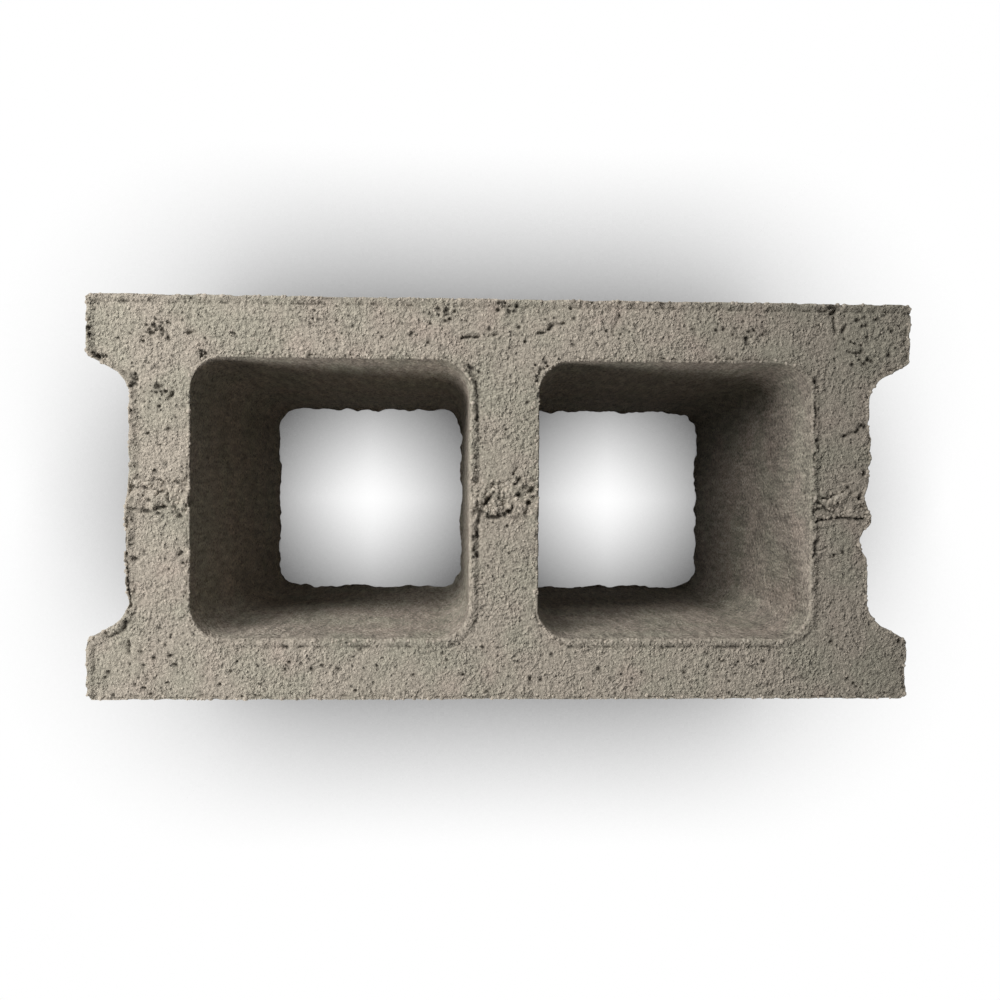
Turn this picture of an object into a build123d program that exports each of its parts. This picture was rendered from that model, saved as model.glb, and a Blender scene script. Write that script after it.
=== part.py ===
from build123d import *

import os

# A hollow concrete building block with two cores that go right through it and a recess in each end.
# It stands as it is laid in a wall, with its cores upright. X runs along its length, Y across its
# width and Z up. The origin is the middle of its underside.
# All sizes are in millimetres.

# Overall size: a 400 x 200 x 200 module less a 10 mm mortar joint
block_length = 390.0
block_width = 190.0
block_height = 190.0

# Walls, measured on the top face, where the cores are widest
face_shell_thickness = 29.5
centre_web_thickness = 33.5
end_web_thickness = 29.0

# What each core wall gains in thickness from the top face to the underside
face_shell_draft = 4.5
web_draft = 2.75

# Upright corners inside the cores
core_corner_radius_top = 15.0
core_corner_radius_bottom = 14.0

# Recess in each end, between the two ears that the face shells end in
end_recess_depth = 19.5
ear_thickness = 29.0
flank_slope_run = 10.5
recess_corner_radius = 14.0
ear_inner_corner_radius = 4.0
ear_outer_corner_radius = 3.0

# Rounding of the edges
core_mouth_radius = 2.5
core_foot_radius = 1.0
outer_arris_radius = 1.2


def outer_profile():
    """The block's outline seen from above, with its recessed ends, on the ground plane."""
    end_x = block_length / 2
    floor_x = end_x - end_recess_depth
    mouth_y = block_width / 2 - ear_thickness
    floor_y = mouth_y - flank_slope_run
    recess = make_face(
        Polyline(
            (end_x, mouth_y),
            (floor_x, floor_y),
            (floor_x, -floor_y),
            (end_x, -mouth_y),
            close=True,
        )
    )
    outline = Rectangle(block_length, block_width) - recess - mirror(recess, about=Plane.YZ)

    # Round the corners from the recess floor outwards, each kind with its own radius
    columns = outline.vertices().group_by(lambda vertex: round(abs(vertex.X), 3))
    recess_corners = columns[0]
    end_corners = columns[-1].group_by(lambda vertex: round(abs(vertex.Y), 3))
    outline = fillet(recess_corners, recess_corner_radius)
    outline = fillet(matching(outline, end_corners[0]), ear_inner_corner_radius)
    return fillet(matching(outline, end_corners[-1]), ear_outer_corner_radius)


def matching(shape, corners):
    """The corners of a shape that lie where the given ones were."""
    places = [Vector(corner.X, corner.Y, corner.Z) for corner in corners]
    return [
        vertex
        for vertex in shape.vertices()
        if any((Vector(vertex.X, vertex.Y, vertex.Z) - place).length < 1e-6 for place in places)
    ]


def core_section(draft_share, corner_radius):
    """One core's section at +X. draft_share is 0 at the top face and 1 at the underside."""
    inner_x = centre_web_thickness / 2 + web_draft * draft_share
    outer_x = block_length / 2 - end_recess_depth - end_web_thickness - web_draft * draft_share
    half_y = block_width / 2 - face_shell_thickness - face_shell_draft * draft_share
    height = block_height * (1 - draft_share)
    section = RectangleRounded(outer_x - inner_x, 2 * half_y, corner_radius)
    return Pos((inner_x + outer_x) / 2, 0, height) * section


def core_void():
    """The tapered space of the core at +X."""
    return loft(
        [
            core_section(1, core_corner_radius_bottom),
            core_section(0, core_corner_radius_top),
        ]
    )


def block():
    """The whole block: one solid."""
    body = extrude(outer_profile(), block_height)
    core = core_void()
    body = body - core - mirror(core, about=Plane.YZ)

    top_face = body.faces().sort_by(Axis.Z)[-1]
    body = fillet(edges_of(top_face.inner_wires()), core_mouth_radius)
    underside = body.faces().sort_by(Axis.Z)[0]
    body = fillet(edges_of(underside.inner_wires()), core_foot_radius)
    top_face = body.faces().sort_by(Axis.Z)[-1]
    underside = body.faces().sort_by(Axis.Z)[0]
    rims = top_face.outer_wire().edges() + underside.outer_wire().edges()
    return fillet(rims, outer_arris_radius)


def edges_of(wires):
    """The edges of several wires as one list."""
    return [edge for wire in wires for edge in wire.edges()]


os.makedirs("parts", exist_ok=True)
export_step(block(), "parts/concrete_block.step")
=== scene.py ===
import math
from functools import partial
from itertools import product

import bmesh
import bpy
import numpy as np
from mathutils import Euler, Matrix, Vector, kdtree
from mathutils.geometry import delaunay_2d_cdt


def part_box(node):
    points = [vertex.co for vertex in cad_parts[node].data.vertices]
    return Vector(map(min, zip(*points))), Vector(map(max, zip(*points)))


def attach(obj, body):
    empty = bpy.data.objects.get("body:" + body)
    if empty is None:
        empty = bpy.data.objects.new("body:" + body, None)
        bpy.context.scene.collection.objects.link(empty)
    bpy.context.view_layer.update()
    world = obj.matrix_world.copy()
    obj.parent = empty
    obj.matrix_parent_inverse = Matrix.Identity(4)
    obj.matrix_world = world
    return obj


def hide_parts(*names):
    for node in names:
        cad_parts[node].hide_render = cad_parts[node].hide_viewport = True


# A hollow concrete building block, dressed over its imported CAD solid. The cast surface is one closed
# mesh with the marks that the block machine leaves, and sand grains are set into it. Lengths are in
# metres, X along the block, Y across it and Z up, as in the frame.

bl_info = {
    "name": "Cast concrete block",
    "version": (1, 0, 0),
    "blender": (4, 5, 0),
    "location": "3D View > Sidebar > Block",
    "description": "Builds the cast surface, the sand grains and the studio of a concrete block",
    "category": "Object",
}

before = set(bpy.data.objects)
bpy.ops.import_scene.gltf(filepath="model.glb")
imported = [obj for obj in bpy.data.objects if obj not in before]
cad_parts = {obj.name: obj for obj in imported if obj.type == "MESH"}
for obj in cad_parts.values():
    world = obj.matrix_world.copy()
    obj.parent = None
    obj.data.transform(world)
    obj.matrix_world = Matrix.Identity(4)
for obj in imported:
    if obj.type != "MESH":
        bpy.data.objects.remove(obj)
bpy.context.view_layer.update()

MM = 0.001
NODE = "concrete_block"
LOW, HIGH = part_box(NODE)
HALF_LENGTH = HIGH[0]
HALF_WIDTH = HIGH[1]
HEIGHT = HIGH[2]

# Half the length and width of the zone that holds both cores and none of the outer faces
CORE_ZONE_X = HALF_LENGTH - 30 * MM
CORE_ZONE_Y = HALF_WIDTH - 10 * MM

# Settings that a user would change


def amount(name, description, default, unit="NONE", precision=2):
    """A number, with its unit if it has one."""
    return bpy.props.FloatProperty(
        name=name, description=description, default=default, unit=unit, precision=precision
    )


def length(name, description, default):
    """A length in metres."""
    return amount(name, description, default, "LENGTH", 5)


def whole(name, description, default):
    """A whole number."""
    return bpy.props.IntProperty(name=name, description=description, default=default)


def tint(name, description, default):
    """A surface colour in linear light."""
    return bpy.props.FloatVectorProperty(
        name=name, description=description, default=default, size=3, subtype="COLOR", min=0, max=1
    )


class BlockSizes(bpy.types.PropertyGroup):
    """Walls, cores and recesses. All but the tighter core mouth are as the part's own solid has them."""

    shell: length("Face shell", "Thickness of the long walls on the top face", 29.5 * MM)
    centre_web: length("Centre web", "Thickness of the middle wall on the top face", 33.5 * MM)
    end_web: length("End web", "Thickness of the end walls on the top face", 29 * MM)
    shell_draft: length("Shell draft", "What a long wall gains towards the underside", 4.5 * MM)
    web_draft: length("Web draft", "What a cross wall gains towards the underside", 2.75 * MM)
    core_radius_top: length("Core corner, top", "Radius of a core's upright corners", 15 * MM)
    core_radius_foot: length("Core corner, foot", "The same at the underside", 14 * MM)
    recess_depth: length("Recess depth", "Depth of the recess in each end", 19.5 * MM)
    ear: length("Ear thickness", "Thickness of the ears at their tips", 29 * MM)
    flank_run: length("Flank slope", "How far the recess narrows to its floor", 10.5 * MM)
    recess_radius: length("Recess corner", "Radius at the recess floor", 14 * MM)
    ear_inner_radius: length("Inner ear corner", "Radius inside each ear's tip", 4 * MM)
    ear_outer_radius: length("Outer ear corner", "Radius outside each ear's tip", 3 * MM)
    core_mouth: length("Core mouth", "Rounding where a core opens on the top face", 1.6 * MM)
    core_foot: length("Core foot", "Rounding where a core opens on the underside", 1 * MM)
    arris: length("Arris", "Rounding of the outer edges", 1.2 * MM)


class BlockRelief(bpy.types.PropertyGroup):
    """Marks of moulding and wear on the solid's own surface."""

    imprint_depth: length("Shoe imprint", "How deep the tamping shoe pressed the top face", 0.9 * MM)
    imprint_shift_x: length("Shoe shift, length", "How far the shoe stood off along X", 2.2 * MM)
    imprint_shift_y: length("Shoe shift, width", "How far the shoe stood off along Y", -1.9 * MM)
    strip_relief: length("Strip relief", "Height of the lumps on the strips across the webs", 1.7 * MM)
    grain: length("Sand grain", "Width of a common grain", 1.5 * MM)
    skin: length("Skin", "How far the paste lies below the highest grains", 0.25 * MM)
    pit_depth: length("Pit depth", "Depth of an open pit", 1.5 * MM)
    fissure_depth: length("Fissure depth", "Depth of a fissure below the face round it", 2.2 * MM)
    crumble: length("Crumbled edge", "How far an edge has crumbled at its worst", 1.5 * MM)
    ragged_foot: length("Ragged foot", "How far the lower edges stray from their line", 2.8 * MM)
    scattered_pits: whole("Scattered pits", "Number of small pits between the named ones", 520)
    loose_grains: whole("Standing grains", "Number of grains that stand out of the top face", 2300)
    seed: whole("Seed", "Start of the random draws", 7)


class BlockColours(bpy.types.PropertyGroup):
    """Colours of the concrete, face by face."""

    bed: tint("Bed face", "Tamped top face", (0.395, 0.348, 0.286))
    core: tint("Core wall", "Walls of the cores", (0.355, 0.308, 0.255))
    mould: tint("Mould face", "Outer walls", (0.29, 0.262, 0.222))
    pallet: tint("Pallet face", "Underside", (0.27, 0.246, 0.21))
    # The colour of the painted shade in pits, pores, fissures, seams and gaps
    pit: tint("Pit", "Depth of a pit", (0.04, 0.034, 0.026))
    warm: tint("Warm stain", "Pink-brown patches", (0.404, 0.338, 0.281))
    cool: tint("Cool stain", "Grey-green patches", (0.359, 0.336, 0.267))
    pale_grain: tint("Pale grain", "Lightest sand", (0.42, 0.378, 0.316))
    dark_grain: tint("Dark grain", "Darkest sand", (0.17, 0.148, 0.12))


class BlockStudio(bpy.types.PropertyGroup):
    """Light, floor and camera."""

    key_power: amount("Key lamp", "Power of the near lamp at the left", 6.2, "POWER")
    back_power: amount("Back lamp", "Power of the broad lamp behind the block", 19, "POWER")
    low_power: amount("Low lamp", "Power of the low lamp at the left", 4.6, "POWER")
    side_power: amount("Side lamps", "Power of each lamp that lights only the walls", 6, "POWER")
    room_light: amount("Room light", "Strength of the light from all round", 0.07)
    shadow_reach: length("Shadow reach", "How far off the block still shades the floor beside it", 150 * MM)
    shadow_depth: amount("Shadow depth", "How dark the floor beside the block gets", 1.85)
    core_reach: length("Core shadow reach", "How far off a core's walls still shade its floor", 62 * MM)
    core_depth: amount("Core shadow depth", "How dark the floor inside a core gets", 1.2)
    camera_height: length("Camera height", "Height of the camera above the top face", 403.6 * MM)
    focal: amount("Focal length", "Focal length of the camera", 30.859, "CAMERA")


SETTINGS = (BlockSizes, BlockRelief, BlockColours, BlockStudio)


def settings(context):
    """The four groups of settings of a scene."""
    scene = context.scene
    return scene.block_sizes, scene.block_relief, scene.block_colours, scene.block_studio


# Noise, the same on every run


def hashed(cells, salt):
    """A repeatable number from 0 to 1 for each whole-numbered place."""
    mix = cells[:, 0] * 73856093 ^ cells[:, 1] * 19349663 ^ cells[:, 2] * 83492791
    mix = (mix ^ salt * 2654435761) & 0xFFFFFFFF
    for _ in range(2):
        mix = ((mix ^ mix >> 16) * 0x45D9F3B) & 0xFFFFFFFF
    return (mix ^ mix >> 16) / 0xFFFFFFFF


def soft_noise(places, size, salt):
    """Smooth noise from -1 to 1 with lumps of the given size."""
    grid = places / size
    base = np.floor(grid).astype(np.int64)
    part = grid - base
    part = part * part * (3 - 2 * part)
    total = np.zeros(len(places))
    for corner in product((0, 1), repeat=3):
        weight = np.prod(np.where(corner, part, 1 - part), axis=1)
        total += weight * hashed(base + corner, salt)
    return 2 * total - 1


def layered_noise(places, size, salt, layers=3):
    """Noise of several sizes, each half as wide and half as strong as the one before."""
    total = np.zeros(len(places))
    for layer in range(layers):
        total += soft_noise(places, size / 2**layer, salt + layer) / 2**layer
    return total / 1.5


def smooth_step(low, high, value):
    """0 below low, 1 above high, and an even blend between. With low above high it runs the other way."""
    share = np.clip((value - low) / (high - low), 0, 1)
    return share * share * (3 - 2 * share)


def bell(value, width):
    """1 at 0, and less and less beyond width on either side."""
    return np.exp(-((value / width) ** 2))


# Outlines with rounded corners


class Outline:
    """A closed outline with rounded corners, sampled at places that stay the same when it changes size."""

    def __init__(self, corners, radii, spacing, tight_radius=6 * MM, tight_share=0.4, multiple=4):
        runs = self.runs(corners, radii)
        self.places = []
        for index, (kind, span) in enumerate(runs):
            tight = kind == "arc" and radii[index // 2] < tight_radius
            step = spacing * (tight_share if tight else 1)
            count = max(multiple, multiple * round(span / step / multiple))
            self.places += [(kind, index // 2, k / count) for k in range(count)]

    @staticmethod
    def runs(corners, radii):
        """The lengths of each corner's arc and of the straight after it."""
        spans = []
        count = len(corners)
        for index in range(count):
            arc = Outline.arc(corners, radii, index)
            following = Outline.arc(corners, radii, (index + 1) % count)
            spans.append(("arc", abs(arc["turn"]) * radii[index]))
            spans.append(("line", np.linalg.norm(following["start"] - arc["end"])))
        return spans

    @staticmethod
    def arc(corners, radii, index):
        """Start, end, centre and turn of the arc that rounds one corner."""
        here = np.array(corners[index])
        before = here - corners[index - 1]
        after = np.array(corners[(index + 1) % len(corners)]) - here
        before = before / np.linalg.norm(before)
        after = after / np.linalg.norm(after)
        turn = math.atan2(before[0] * after[1] - before[1] * after[0], before @ after)
        back = radii[index] * math.tan(abs(turn) / 2)
        start = here - before * back
        inward = np.array((-before[1], before[0])) * math.copysign(1, turn)
        centre = start + inward * radii[index]
        return {"start": start, "end": here + after * back, "centre": centre, "turn": turn}

    def at(self, corners, radii, offset=0.0):
        """Points and outward normals of the outline, moved outwards by offset."""
        arcs = [self.arc(corners, radii, index) for index in range(len(corners))]
        points = []
        normals = []
        for kind, index, share in self.places:
            arc = arcs[index]
            if kind == "arc":
                spoke = arc["start"] - arc["centre"]
                angle = arc["turn"] * share
                turned = (
                    spoke[0] * math.cos(angle) - spoke[1] * math.sin(angle),
                    spoke[0] * math.sin(angle) + spoke[1] * math.cos(angle),
                )
                point = arc["centre"] + turned
                normal = np.array(turned) / radii[index] * math.copysign(1, arc["turn"])
            else:
                following = arcs[(index + 1) % len(arcs)]
                along = following["start"] - arc["end"]
                point = arc["end"] + along * share
                along = along / np.linalg.norm(along)
                normal = np.array((along[1], -along[0]))
            points.append(point + normal * offset)
            normals.append(normal)
        return np.array(points), np.array(normals)


def block_corners(sizes):
    """Corners and radii of the block's outline seen from above, counter-clockwise."""
    mouth = HALF_WIDTH - sizes.ear
    floor_y = mouth - sizes.flank_run
    floor_x = HALF_LENGTH - sizes.recess_depth
    quarter = [
        (HALF_LENGTH, HALF_WIDTH, sizes.ear_outer_radius),
        (HALF_LENGTH, mouth, sizes.ear_inner_radius),
        (floor_x, floor_y, sizes.recess_radius),
    ]
    lower_right = [(x, -y, r) for x, y, r in quarter]
    upper_right = quarter[::-1]
    upper_left = [(-x, y, r) for x, y, r in quarter]
    lower_left = [(-x, -y, r) for x, y, r in quarter[::-1]]
    ring = lower_right + upper_right + upper_left + lower_left
    return [(x, y) for x, y, _ in ring], [r for _, _, r in ring]


def core_corners(sizes, side, share):
    """Corners and radii of one core's section. share is 0 at the top face and 1 at the underside."""
    inner = sizes.centre_web / 2 + sizes.web_draft * share
    outer = HALF_LENGTH - sizes.recess_depth - sizes.end_web - sizes.web_draft * share
    half_y = HALF_WIDTH - sizes.shell - sizes.shell_draft * share
    radius = sizes.core_radius_top + (sizes.core_radius_foot - sizes.core_radius_top) * share
    low, high = sorted((side * inner, side * outer))
    corners = [(low, -half_y), (high, -half_y), (high, half_y), (low, half_y)]
    return corners, [radius] * 4


# Rings of points joined into walls

# The regions of the surface, in the order of their materials
TOP, SIDE, CORE, UNDER = range(4)

# How far apart the mesh's points stand along the edges, on the top face, on its rough strips and on
# the underside, as well as down the walls at most, and the least gap between two on the top face
EDGE_SPACING = 1.0 * MM
TOP_SPACING = 1.28 * MM
STRIP_SPACING = 0.8 * MM
UNDER_SPACING = 4.2 * MM
LEAST_GAP = 0.42 * MM

# How many rings round off an edge
ROUND_STEPS = 3


def graded_depths(total, first, last, widest, growth=1.3):
    """Depths from 0 to total, with steps that widen from first to widest and narrow again to last."""
    head = [0.0]
    tail = [0.0]
    head_step = first
    tail_step = last
    while sum((head[-1], tail[-1], head_step, tail_step)) < total:
        if head_step <= tail_step:
            head.append(head[-1] + head_step)
            head_step = min(head_step * growth, widest)
        else:
            tail.append(tail[-1] + tail_step)
            tail_step = min(tail_step * growth, widest)
    return np.array(head + [total - depth for depth in tail[::-1]])


class MeshBuilder:
    """Points and faces of one closed mesh, gathered ring by ring."""

    def __init__(self):
        self.points = []
        self.faces = []
        self.regions = []

    def add_points(self, points):
        """Adds points and returns their numbers."""
        start = len(self.points)
        self.points.extend(map(tuple, points))
        return np.arange(start, start + len(points))

    def add_face(self, face, region):
        self.faces.append(tuple(int(corner) for corner in face))
        self.regions.append(region)

    def knit(self, upper, lower, region, flip):
        """Joins two rings, of which one may have every second point of the other."""
        count = min(len(upper), len(lower))
        for k in range(count):
            after = (k + 1) % count
            high = upper[after]
            low = lower[after]
            if len(upper) == len(lower):
                faces = [(upper[k], lower[k], low, high)]
            elif len(upper) > len(lower):
                mid = upper[2 * k + 1]
                end = upper[(2 * k + 2) % len(upper)]
                faces = [(upper[2 * k], lower[k], mid), (mid, lower[k], low), (mid, low, end)]
            else:
                mid = lower[2 * k + 1]
                end = lower[(2 * k + 2) % len(lower)]
                faces = [(upper[k], lower[2 * k], mid), (upper[k], mid, high), (mid, end, high)]
            for corners in faces:
                self.add_face(corners[::-1] if flip else corners, region)


def ring_rows(top_round, foot_round, last_step):
    """Depth, inset and thinning of every ring of a wall, from the top face to the underside."""
    depths = graded_depths(HEIGHT - top_round - foot_round, EDGE_SPACING, last_step, UNDER_SPACING)
    angles = [math.pi / 2 * k / ROUND_STEPS for k in range(ROUND_STEPS)]
    rows = [(top_round * (1 - math.cos(angle)), top_round * (1 - math.sin(angle)), 1) for angle in angles]
    last = len(depths) - 1
    for k, depth in enumerate(depths):
        step = depths[min(k + 1, last)] - depths[max(k - 1, 0)]
        step = step / (1 if k in (0, last) else 2)
        skip = 1 if step < 1.5 * EDGE_SPACING else 2 if step < 3 * EDGE_SPACING else 4
        rows.append((top_round + depth, 0.0, skip))
    for angle in angles[::-1]:
        inset = foot_round * (1 - math.sin(angle))
        rows.append((HEIGHT - foot_round * (1 - math.cos(angle)), inset, rows[-1][2]))
    return rows


def wall_rings(builder, outline, section, top_round, foot_round, region, outward):
    """A wall with rounded edges, from top face to underside. Returns its first and last ring."""
    first = previous = None
    last_step = EDGE_SPACING * (1.1 if outward < 0 else 2.2)
    for depth, inset, skip in ring_rows(top_round, foot_round, last_step):
        corners, radii = section(depth / HEIGHT)
        points, _ = outline.at(corners, radii, -outward * inset)
        ring = builder.add_points([(x, y, HEIGHT - depth) for x, y in points[::skip]])
        if previous is None:
            first = ring
        else:
            builder.knit(previous, ring, region if depth > top_round else TOP, outward < 0)
        previous = ring
    return first, previous


def flat_tree(places):
    """A search tree of places seen from above."""
    tree = kdtree.KDTree(len(places))
    for index, (x, y) in enumerate(places):
        tree.insert((x, y, 0), index)
    tree.balance()
    return tree


def boundary_finder(loops):
    """A function for the signed distance from points to the material's boundary, above 0 outside."""
    rim = np.concatenate([points for points, _ in loops])
    normals = np.concatenate([outward for _, outward in loops])
    tree = flat_tree(rim)

    def signed_distance(places):
        found = [tree.find((x, y, 0)) for x, y in places]
        near = np.array([(spot[0], spot[1]) for spot, _, _ in found])
        away = normals[[index for _, index, _ in found]]
        across = np.einsum("ij,ij->i", places - near, away)
        gap = np.array([distance for _, _, distance in found])
        return np.sign(across) * gap

    return signed_distance


def add_plate(builder, loops, inner_points, signed_distance, region, flip):
    """A flat face between rings that are already in the mesh, with points of its own inside."""
    height = builder.points[loops[0][0]][2]
    numbers = np.concatenate(loops)
    edges = []
    start = 0
    for loop in loops:
        edges += [(start + k, start + (k + 1) % len(loop)) for k in range(len(loop))]
        start += len(loop)
    flat = [Vector(builder.points[number][:2]) for number in numbers]
    new = builder.add_points([(x, y, height) for x, y in inner_points])
    flat += [Vector(place) for place in inner_points]
    numbers = np.concatenate([numbers, new])
    points, _, triangles, origins, _, _ = delaunay_2d_cdt(flat, edges, [], 1, 1e-9)
    triangles = np.array(triangles)
    places = np.array([tuple(point) for point in points])
    inside = signed_distance(places[triangles].mean(axis=1)) < 0
    names = np.array([numbers[origin[0]] for origin in origins])
    for corners in names[triangles[inside]]:
        builder.add_face(corners[::-1] if flip else corners, region)


def hex_points(spacing, low, high, jitter, rng):
    """Points in rows like a honeycomb, each moved a little at random."""
    rows = np.arange(low[1], high[1], spacing * math.sqrt(3) / 2)
    columns = np.arange(low[0], high[0], spacing)
    x, y = np.meshgrid(columns, rows)
    x = x + (np.arange(len(rows)) % 2 * spacing / 2)[:, None]
    points = np.stack([x.ravel(), y.ravel()], axis=1)
    return points + rng.uniform(-jitter, jitter, points.shape) * spacing


# What the block machine and handling left on the surface. Places are in millimetres on the top
# face, from its middle, to the nearest half millimetre.

# Middle, spread along X and Y, number of pits, and typical radius
PIT_CLUSTERS = [
    (-160, 78, 8, 4.5, 24, 0.9),
    (-141, 66, 3, 3, 6, 0.9),
    (-160, 50, 4, 4.5, 12, 0.8),
    (-193, 79, 1, 6, 9, 1.0),
    (-189, 66, 5, 1.5, 10, 1.0),
    (-174, 54, 4, 3.5, 9, 0.9),
    (-174, 41, 1, 5, 6, 0.9),
    (-90, 84, 4, 3.5, 9, 0.75),
    (-111, 78, 5, 3, 5, 0.6),
    (-27, 87, 6, 3, 12, 0.8),
    (2, 90, 6, 3, 12, 0.8),
    (17, 60, 4, 6, 16, 0.85),
    (-18, 61, 4, 5, 14, 0.75),
    (-43, 79, 3, 2, 4, 0.7),
    (171, 80, 9, 8, 12, 0.8),
    (170, 68, 6, 3, 8, 0.9),
    (-168, -84, 12, 8, 10, 0.8),
    (-14, -18, 1, 8, 8, 0.8),
    (110, 80, 25, 6, 16, 0.85),
    (-100, -80, 30, 6, 16, 0.85),
    (110, -80, 25, 6, 10, 0.75),
]

# Fissures: points along each, and its width
FISSURES = [
    ([(16, 78.5), (19.5, 79), (22.5, 82.5), (28, 84)], 1.0),
    ([(51, 79), (52.5, 83.5), (54, 88)], 0.8),
    ([(-20.5, 76), (-16, 77)], 0.9),
    ([(-15, 76.5), (-12.5, 76.5)], 1.0),
    ([(-8, 77), (-4.5, 78)], 0.7),
    ([(163, 31.5), (166, 33), (169.5, 34), (172, 37)], 1.1),
    ([(173, 35.5), (176, 38)], 1.0),
    ([(153, 91), (155.5, 93), (158.5, 93), (160.5, 95)], 1.1),
    ([(158.5, 93), (158, 90.5), (155.5, 89.5)], 1.1),
    ([(157.5, 88), (158, 81)], 0.7),
    ([(165, 71.5), (172, 71.5)], 0.9),
    ([(162.5, 83.5), (161.5, 81)], 1.0),
    ([(-148, 76.5), (-144.5, 77.5)], 1.2),
    ([(-154.5, 49.5), (-157, 45.5)], 1.0),
    ([(-150.5, -25.5), (-153, -28.5)], 1.1),
    ([(-175, -67), (-175, -73)], 0.7),
    # The centre strip and its lower edge
    ([(-4.5, 3.5), (-8.5, -1.5)], 1.2),
    ([(-5.5, 7.5), (-7, 4.5)], 1.0),
    ([(-11.5, -5.5), (-8, -6.5), (-7, -8.5), (-2.5, -8), (0.5, -6.5), (3.5, -4)], 1.3),
    ([(14, 6.5), (12.5, 4)], 1.5),
    ([(11.5, -4), (10.5, -6.5)], 1.2),
    ([(6.5, 15), (4.5, 12)], 0.9),
    ([(7.5, 10), (5, 7)], 1.0),
    # The right strip
    ([(151.5, -0.5), (153.5, -1.5), (156, -4), (158.5, -5)], 0.9),
    ([(153.5, 1.5), (156.5, 1.5), (158.5, 3.5), (162.5, 4.5), (164, 5)], 0.9),
    ([(149.5, -10), (152, -8.5), (158.5, -8), (166.5, -7.5), (172, -8)], 0.9),
    # The left strip, with painted shade below its ridge
    (
        [(-172, -5.5), (-167.5, -6.5), (-164, -6.5), (-161.5, -4.5), (-158, -4), (-153.5, -5), (-151, -9)],
        1.4,
    ),
    ([(-157, 2), (-156.5, -2.5)], 1.0),
    ([(-147, -3), (-149, -6.5)], 1.2),
    # Seams beside the lips that the shoe missed
    ([(-11.5, -6), (-13, -13), (-12.5, -17), (-14, -22), (-12.5, -28)], 1.3),
    ([(-13.5, 15), (-14, 9)], 1.0),
    ([(-14, 26), (-13.5, 19)], 0.8),
    ([(-17, 63), (-15, 60), (-13.5, 55.5), (-13, 49), (-13, 41), (-13.5, 37.5)], 1.0),
    ([(-172.5, -6), (-173.5, -10), (-175, -16), (-174, -28), (-174, -46), (-174, -51)], 1.7),
    ([(-176.5, -58), (-177, -61), (-179, -63), (-184, -65), (-186, -63.5)], 1.2),
    ([(149, 58), (149.5, 53), (148.5, 48), (149, 40), (148.5, 34)], 1.1),
    ([(149, 23), (149, 19)], 1.0),
    ([(150, 16), (150, 13)], 0.9),
    ([(149.5, -19), (149.5, -25), (148, -27)], 1.1),
]

# Single deep pits: place and radius
DEEP_PITS = [
    (2.5, -5.5, 1.9),
    (4, -3.5, 1.4),
    (0.5, -7, 1.3),
    (7, 2, 1.5),
    (12, -1.5, 1.7),
    (14, 1.5, 1.1),
    (-3, -3.5, 1.0),
    (-2.5, 0.5, 1.0),
    (148.5, -5, 1.2),
    (151.5, -3.5, 1.1),
    (160.5, -1, 1.0),
    (166.5, -8, 1.3),
    (163, -24, 1.4),
    (149.5, 29, 1.2),
    (173, 1.5, 1.6),
    (173, 13.5, 1.3),
    (-166, -1, 1.1),
    (-161, 3, 1.0),
    (-171, 5, 0.9),
    (-167.5, 5, 0.9),
    (-152.5, 7, 1.0),
    (-153.5, -78, 1.4),
    (-156, -74, 1.1),
    (-163.5, -75, 1.2),
    (-184.5, -81.5, 1.2),
    (-186, -84, 0.9),
    (-165, -92, 1.1),
    (-171, -28.5, 1.3),
    (-150, -30.5, 1.0),
    (-182, -92.5, 0.9),
    (-186.5, 65, 1.1),
    (-180, 74, 1.0),
    (-168.5, 73, 1.0),
    (-171.5, 55, 1.2),
    (-174, 51.5, 1.1),
    (-161.5, 51.5, 1.4),
    (-158.5, 49.5, 1.3),
    (-162.5, 49, 1.1),
    (-161, 42.5, 1.1),
    (-140, 74.5, 0.9),
    (-140, 67.5, 1.2),
    (169, 87.5, 1.1),
    (173, 84.5, 1.0),
    (178, 87.5, 1.0),
    (189, 84.5, 0.9),
    (185.5, 82, 1.1),
    (162.5, 78, 0.9),
    (174.5, 68.5, 1.4),
    (184.5, 70.5, 1.2),
    (158, 68.5, 0.9),
    (158, -67.5, 1.2),
    (177.5, -53, 1.2),
    (191, -67, 1.1),
    (6.5, 81.5, 1.2),
    (9.5, 74.5, 1.0),
    (-3, 92.5, 1.1),
    (-3.5, 89.5, 1.2),
    (5.5, 91.5, 1.1),
    (-26, 85, 1.2),
    (19, 85.5, 0.8),
    (31, 90.5, 1.0),
    (45.5, -80.5, 1.1),
    (23, -73, 0.8),
    (13, -84.5, 0.8),
    (18, -85.5, 0.8),
    (-26.5, -76, 1.0),
    (7, -76.5, 0.8),
]

# The strip that the core bar left on each web: place along X, its middle and its width
STRIPS = [(-160, 1.5, 14), (0, 0.5, 17), (160, -1.5, 13)]

# The broken edge of each recess: place along Y, and how far the edge lies out from its line
BROKEN_EDGES = {
    1: [
        (-45, 0),
        (-35, 0),
        (-27, -0.5),
        (-23.5, -2.5),
        (-21, -4),
        (-16.5, -3.5),
        (-14, -2.5),
        (-12, 0),
        (-10, 1.5),
        (-6.5, 1.5),
        (-4, 0),
        (-1, -1),
        (2, -2),
        (6, -1),
        (9.5, 0),
        (16.5, 0),
        (21, 1.5),
        (26, 0.5),
        (30, 1.5),
        (35, 0),
        (45, 0),
    ],
    -1: [(-50, 0), (-42, 1.5), (-28, 2), (-8, 2), (-2, 1.5), (3, 0.5), (12, 0), (45, 0)],
}

# Chips: a place outside an edge, and the radius of the bite taken there
CHIPS = [
    (-199.5, -99.5, 190, 9.5),
    (-198.5, 88.5, 192.5, 4.5),
    (-190, 98, 192, 3.5),
    (199, 98, 193, 4.5),
    (198, -98, 192, 5.5),
    (193, 61, 193, 4),
    (177.5, 0.5, 189, 3.5),
    (-14.5, 62.5, 193, 3.5),
    (14, 62, 193.5, 4.5),
]


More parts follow.
